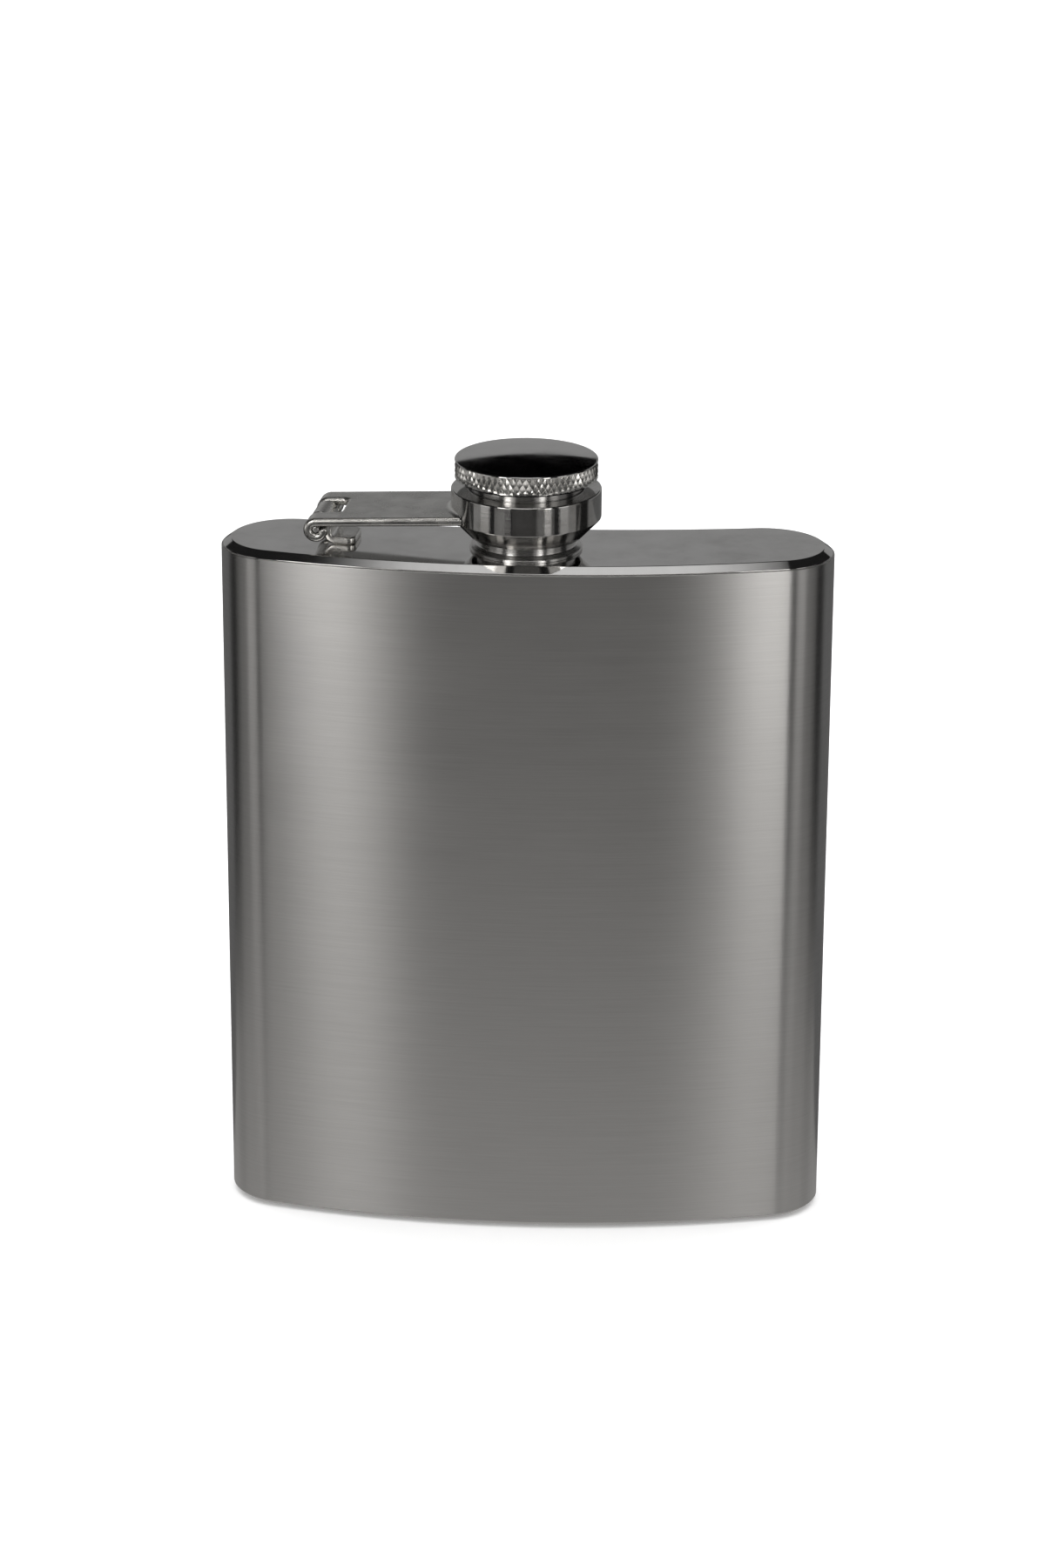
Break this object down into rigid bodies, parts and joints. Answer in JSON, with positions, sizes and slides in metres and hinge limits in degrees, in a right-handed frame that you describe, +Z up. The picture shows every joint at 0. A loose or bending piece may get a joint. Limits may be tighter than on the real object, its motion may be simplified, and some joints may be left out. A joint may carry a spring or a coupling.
{
  "type": "hip flask",
  "caption": "Curved pocket flask of brushed steel with bevelled polished ends and a knurled screw cap held by a hinged arm.",
  "frame": {"origin": "on the flat base, straight below the neck's axis", "axes": "+Z up along the neck's axis, -Y towards the bulging front, -X towards the hinge of the cap's arm"},
  "size_m": [0.094, 0.0254, 0.1242],
  "materials": {
    "brushed_steel": "fine horizontal brushing",
    "polished_steel": "mirror-polished stainless steel",
    "plain_steel": "bright machined stainless steel",
    "silicone": "matte translucent silicone"
  },
  "bodies": {
    "flask": {"body_shell": "brushed_steel", "shoulder_pan": "polished_steel", "base_pan": "polished_steel", "neck": "polished_steel", "hinge_bracket": "polished_steel", "hinge_pin": "plain_steel"},
    "arm": {"cap_arm": "polished_steel", "collar_ring": "polished_steel"},
    "seal": {"seal_disc": "silicone"},
    "cap": {"cap_head": "polished_steel", "cap_sleeve": "plain_steel", "snap_ring": "plain_steel"}
  },
  "joints": [
    {"name": "arm_hinge", "type": "hinge", "parent": "flask", "child": "arm", "pos_m": [-0.03113, 0.00272, 0.1129], "axis": [-0.0872, -0.9962, 0], "range_deg": [0, 180]},
    {"name": "cap_lift", "type": "slide", "parent": "arm", "child": "seal", "axis": [0, 0, 1], "range_m": [0, 0.0025]},
    {"name": "cap_turn", "type": "hinge", "parent": "seal", "child": "cap", "pos_m": [0, 0, 0.1181], "axis": [0, 0, 1], "range_deg": [0, 720]}
  ],
  "couplings": [
    {"joint": "cap_lift", "follows": "cap_turn", "m_per_rad": 0.00019894}
  ]
}
